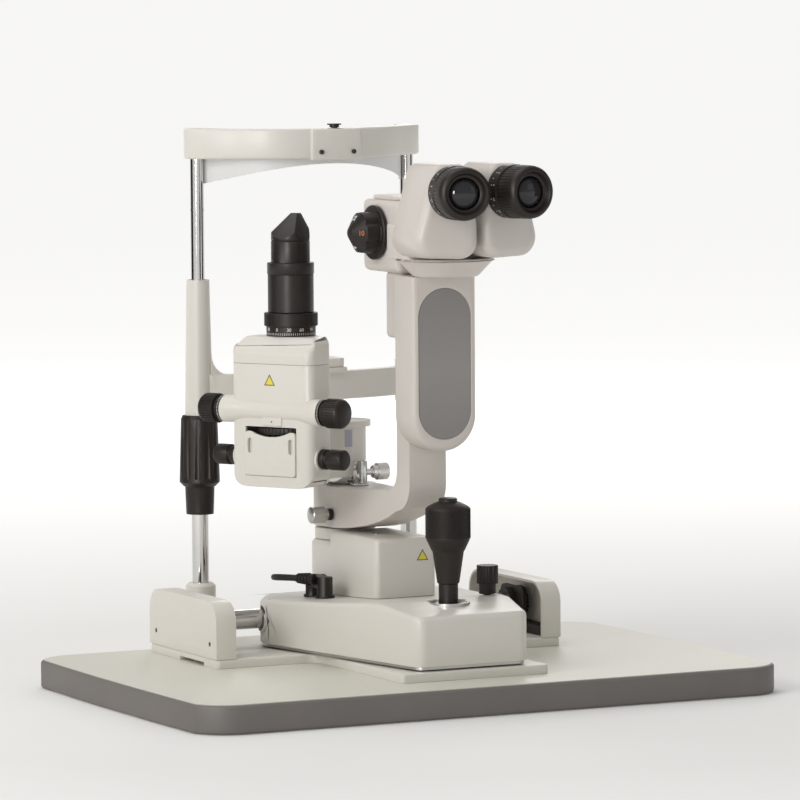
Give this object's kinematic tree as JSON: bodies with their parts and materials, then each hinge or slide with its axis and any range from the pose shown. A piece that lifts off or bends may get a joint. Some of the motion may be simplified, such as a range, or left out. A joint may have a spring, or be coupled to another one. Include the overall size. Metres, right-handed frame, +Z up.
{
  "type": "slit lamp",
  "caption": "Slit lamp on its table top: joystick cross slide, swinging binocular microscope and slit illuminator on one pivot, with chin and brow rest.",
  "frame": {"origin": "centre of the four-hole bolt pattern on the underside of the table board", "axes": "+X to the operator's right, +Y towards the patient, +Z up"},
  "size_m": [0.5998, 0.4385, 0.5272],
  "materials": {
    "table_laminate": "smooth",
    "edge_rubber": "matte",
    "painted_cover": "fine satin paint",
    "band_plastic": "smooth",
    "chrome_tube": "polished",
    "brushed_plate": "brushed",
    "black_plastic": "matte",
    "black_steel": "black oxide",
    "anodised_black": "satin black",
    "grip_rubber": "knurled",
    "lead_rubber": "matte",
    "grey_panel": "semi-gloss",
    "lens_glass": "coated"
  },
  "bodies": {
    "stand": {"table_board": "table_laminate", "edge_band": "edge_rubber", "base_plate": "painted_cover", "left_cover": "painted_cover", "right_cover": "painted_cover", "guide_racks": "black_plastic", "head_poles": "chrome_tube", "pole_feet": "painted_cover", "brow_beam": "painted_cover", "brow_band": "band_plastic", "stand_screws": "black_steel", "fixation_socket": "black_plastic"},
    "chin": {"chin_rest": "painted_cover", "chin_cup": "band_plastic"},
    "chin_nut": {"height_ring": "black_plastic"},
    "axle_yoke": {"axle_bearings": "black_plastic"},
    "axle": {"axle_shaft": "chrome_tube", "axle_wheels": "black_plastic"},
    "carriage": {"carriage_shell": "painted_cover", "slide_plate": "brushed_plate", "column_box": "painted_cover", "joystick_socket": "brushed_plate", "lead_plug": "black_plastic", "lead_boot": "lead_rubber", "lamp_lead": "lead_rubber", "lead_gland": "lead_rubber"},
    "carriage_lock": {"carriage_lock_knob": "black_plastic"},
    "gimbal": {"gimbal_ring": "brushed_plate"},
    "stick": {"joystick_stem": "black_plastic"},
    "grip": {"joystick_grip": "grip_rubber"},
    "button": {"joystick_button": "black_plastic"},
    "column": {"column_post": "painted_cover", "column_shaft": "chrome_tube"},
    "microscope": {"microscope_arm": "painted_cover", "arm_bracket": "chrome_tube", "camera_pod": "painted_cover", "pod_panel": "grey_panel", "microscope_head": "painted_cover", "head_cap": "painted_cover", "objective_lens": "lens_glass", "binocular_base": "painted_cover"},
    "clamp": {"clamp_knob": "chrome_tube"},
    "arm_lock": {"arm_lock_knob": "brushed_plate"},
    "magnifier": {"magnification_knob": "black_plastic"},
    "left_prism": {"left_prism_housing": "painted_cover"},
    "right_prism": {"right_prism_housing": "painted_cover"},
    "left_ocular": {"left_eyepiece": "black_plastic", "left_eye_lens": "lens_glass"},
    "right_ocular": {"right_eyepiece": "black_plastic", "right_eye_lens": "lens_glass"},
    "lamp": {"lamp_arm": "painted_cover", "lamp_housing": "painted_cover", "lamp_lid": "painted_cover", "front_plate": "painted_cover"},
    "slit_turn": {"slit_ring": "black_plastic", "lamp_barrel": "anodised_black", "prism_head": "anodised_black"},
    "slit_width": {"slit_knobs": "black_plastic"},
    "aperture": {"aperture_knobs": "black_plastic"},
    "filter": {"filter_wheel": "black_plastic"}
  },
  "joints": [
    {"name": "chin_height", "type": "slide", "parent": "stand", "child": "chin", "axis": [0, 0, 1], "range_m": [-0.025, 0.05]},
    {"name": "height_ring_turn", "type": "hinge", "parent": "chin", "child": "chin_nut", "pos_m": [-0.112, 0.217, 0.197], "axis": [0, 0, 1], "range_deg": [-1000, 2000]},
    {"name": "cross_slide_y", "type": "slide", "parent": "stand", "child": "axle_yoke", "axis": [0, 1, 0], "range_m": [-0.035, 0.044]},
    {"name": "axle_roll", "type": "hinge", "parent": "axle_yoke", "child": "axle", "pos_m": [0, 0.1, 0.063], "axis": [1, 0, 0], "range_deg": [-180, 180]},
    {"name": "cross_slide_x", "type": "slide", "parent": "axle_yoke", "child": "carriage", "axis": [1, 0, 0], "range_m": [-0.044, 0.044]},
    {"name": "carriage_lock_turn", "type": "hinge", "parent": "carriage", "child": "carriage_lock", "pos_m": [0.057, -0.058, 0.107], "axis": [0, 0, 1], "range_deg": [-90, 0]},
    {"name": "stick_tilt_y", "type": "hinge", "parent": "carriage", "child": "gimbal", "pos_m": [0, -0.09, 0.077], "axis": [1, 0, 0], "range_deg": [-8, 10]},
    {"name": "stick_tilt_x", "type": "hinge", "parent": "gimbal", "child": "stick", "pos_m": [0, -0.09, 0.077], "axis": [0, 1, 0], "range_deg": [-9, 9]},
    {"name": "grip_turn", "type": "hinge", "parent": "stick", "child": "grip", "pos_m": [0, -0.09, 0.147], "axis": [0, 0, 1], "range_deg": [-10, 730]},
    {"name": "button_press", "type": "slide", "parent": "grip", "child": "button", "axis": [0, 0, -1], "range_m": [0, 0.002], "stiffness_N_per_m": 800},
    {"name": "column_lift", "type": "slide", "parent": "carriage", "child": "column", "axis": [0, 0, 1], "range_m": [0, 0.03]},
    {"name": "microscope_swing", "type": "hinge", "parent": "column", "child": "microscope", "pos_m": [0, 0.128, 0.157], "axis": [0, 0, 1], "range_deg": [-6, 35]},
    {"name": "clamp_turn", "type": "hinge", "parent": "microscope", "child": "clamp", "pos_m": [0.02, 0.096, 0.197], "axis": [1, 0, 0], "range_deg": [-180, 0]},
    {"name": "arm_lock_turn", "type": "hinge", "parent": "microscope", "child": "arm_lock", "pos_m": [-0.04, 0.1, 0.158], "axis": [1, 0, 0], "range_deg": [-180, 0]},
    {"name": "magnification_turn", "type": "hinge", "parent": "microscope", "child": "magnifier", "pos_m": [-0.05, -0.013, 0.431], "axis": [1, 0, 0], "continuous": true},
    {"name": "left_prism_turn", "type": "hinge", "parent": "microscope", "child": "left_prism", "pos_m": [-0.0327, -0.103, 0.427], "axis": [0, 1, 0], "range_deg": [-7, 3.5]},
    {"name": "right_prism_turn", "type": "hinge", "parent": "microscope", "child": "right_prism", "pos_m": [0.0327, -0.103, 0.427], "axis": [0, 1, 0], "range_deg": [-3.5, 7]},
    {"name": "left_dioptre_turn", "type": "hinge", "parent": "left_prism", "child": "left_ocular", "pos_m": [-0.0275, -0.16, 0.473], "axis": [-0.1736, -0.9848, 0], "range_deg": [-120, 120]},
    {"name": "right_dioptre_turn", "type": "hinge", "parent": "right_prism", "child": "right_ocular", "pos_m": [0.0275, -0.16, 0.473], "axis": [0.1736, -0.9848, 0], "range_deg": [-120, 120]},
    {"name": "lamp_swing", "type": "hinge", "parent": "column", "child": "lamp", "pos_m": [0, 0.128, 0.227], "axis": [0, 0, 1], "range_deg": [-26, 9]},
    {"name": "slit_rotation", "type": "hinge", "parent": "lamp", "child": "slit_turn", "pos_m": [-0.07621, 0.084, 0.342], "axis": [0, 0, 1], "range_deg": [-90, 90]},
    {"name": "slit_width_turn", "type": "hinge", "parent": "lamp", "child": "slit_width", "pos_m": [-0.10132, 0.0695, 0.262], "axis": [0.5, -0.866, 0], "range_deg": [0, 300]},
    {"name": "aperture_turn", "type": "hinge", "parent": "lamp", "child": "aperture", "pos_m": [-0.0918, 0.075, 0.2175], "axis": [0.5, -0.866, 0], "range_deg": [0, 270]},
    {"name": "filter_turn", "type": "hinge", "parent": "lamp", "child": "filter", "pos_m": [-0.07621, 0.084, 0.242], "axis": [0, 0, 1], "continuous": true}
  ],
  "couplings": [
    {"joint": "height_ring_turn", "follows": "chin_height", "rad_per_m": 628.32},
    {"joint": "axle_roll", "follows": "cross_slide_y", "rad_per_m": -62.5},
    {"joint": "grip_turn", "follows": "column_lift", "rad_per_m": 418.88},
    {"joint": "right_prism_turn", "follows": "left_prism_turn", "ratio": -1}
  ]
}
